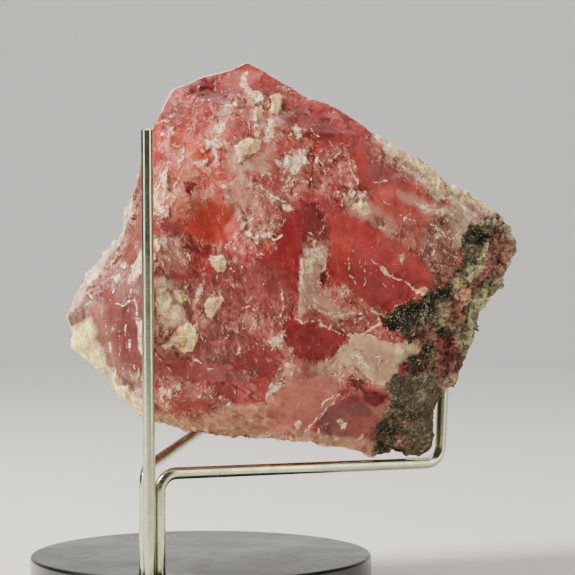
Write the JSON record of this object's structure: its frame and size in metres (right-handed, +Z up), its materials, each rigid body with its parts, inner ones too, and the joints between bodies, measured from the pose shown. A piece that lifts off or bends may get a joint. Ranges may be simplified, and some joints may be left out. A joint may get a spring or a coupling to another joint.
{
  "type": "fluorite specimen",
  "caption": "Broken chunk of pink-red fluorite with green-black matrix, resting on two bent steel arms and leaning on a steel post over a round base.",
  "frame": {"origin": "centre of the underside of the stand's round base", "axes": "+Z up out of the base, -Y towards the viewer of the stone's best face, +X to that viewer's right"},
  "size_m": [0.1283, 0.09, 0.1366],
  "materials": {
    "fluorite": "cloudy, glassy on cleavage faces, dull on broken ones",
    "steel": "polished",
    "base_lacquer": "black lacquer"
  },
  "bodies": {
    "root": {"fluorite": "fluorite", "rest_post": "steel", "right_arm": "steel", "left_arm": "steel", "base": "base_lacquer"}
  },
  "joints": []
}
